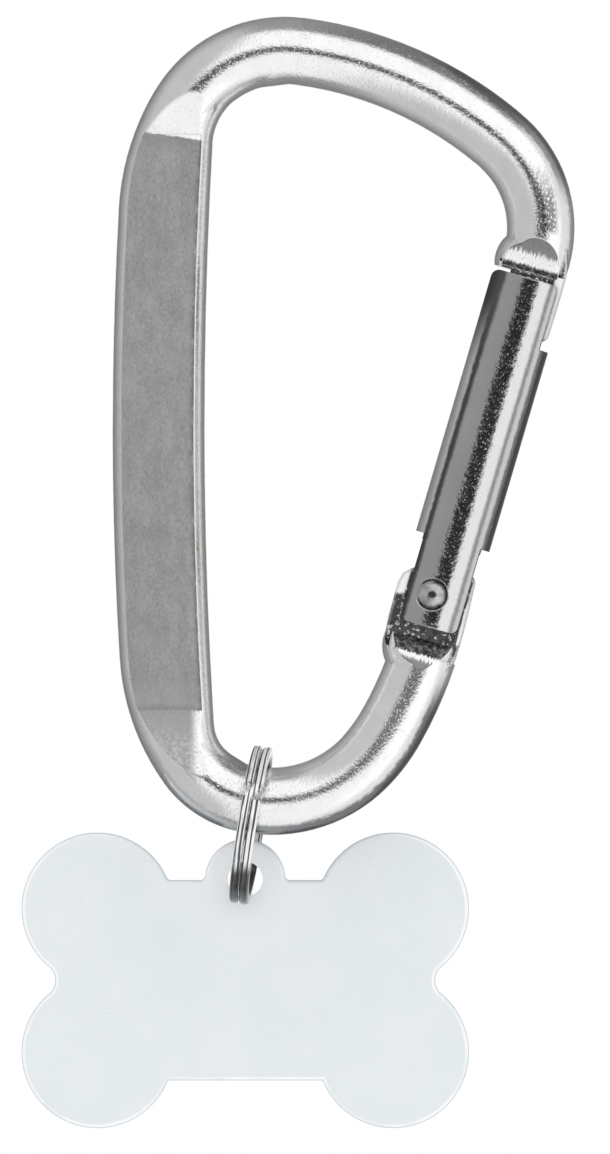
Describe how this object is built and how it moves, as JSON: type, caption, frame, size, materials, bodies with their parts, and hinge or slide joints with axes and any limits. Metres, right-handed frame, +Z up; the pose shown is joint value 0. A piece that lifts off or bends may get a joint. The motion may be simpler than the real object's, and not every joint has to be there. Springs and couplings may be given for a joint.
{
  "type": "pet id tag",
  "caption": "Bone-shaped metal tag blank on a split ring, hung from a D-shaped spring-gate carabiner with a pressed flat spine.",
  "frame": {"origin": "the hang point: the middle of the carabiner's inner top edge, in its mid-plane", "axes": "+Z up, +X towards the gate, -Y towards the viewer of the picture"},
  "size_m": [0.0473, 0.0136, 0.0951],
  "materials": {
    "frame_metal": "polished, with a satin pressed spine",
    "gate_metal": "polished",
    "rivet_metal": "domed and dimpled",
    "spring_metal": "drawn wire",
    "plunger_metal": "turned",
    "ring_metal": "nickel plated, bright",
    "tag_metal": "satin, with a bright rounded rim"
  },
  "bodies": {
    "frame": {"carabiner_frame": "frame_metal"},
    "gate": {"gate_sleeve": "gate_metal", "hinge_rivet": "rivet_metal", "gate_spring": "spring_metal"},
    "plunger": {"spring_plunger": "plunger_metal"},
    "ring": {"split_ring": "ring_metal"},
    "tag": {"bone_tag": "tag_metal"}
  },
  "joints": [
    {"name": "gate_hinge", "type": "hinge", "parent": "frame", "child": "gate", "pos_m": [0.014, 0, -0.04347], "axis": [0, -1, 0], "range_deg": [0, 50], "stiffness_Nm_per_rad": 0.01, "springref_deg": -34.38},
    {"name": "plunger_slide", "type": "slide", "parent": "gate", "child": "plunger", "axis": [0.2823, 0, 0.9593], "range_m": [0, 0.0007], "deforming": ["gate_spring"]},
    {"name": "ring_swing", "type": "hinge", "parent": "frame", "child": "ring", "pos_m": [-0.00103, 0, -0.06104], "axis": [0.9866, -0.0523, -0.1545], "range_deg": [-85, 45]},
    {"name": "tag_swing", "type": "hinge", "parent": "ring", "child": "tag", "pos_m": [-0.00196, 0.00262, -0.06784], "axis": [0, 1, 0], "range_deg": [-6, 25]}
  ],
  "couplings": [
    {"joint": "plunger_slide", "follows": "gate_hinge", "m_per_rad": 0.0007}
  ]
}
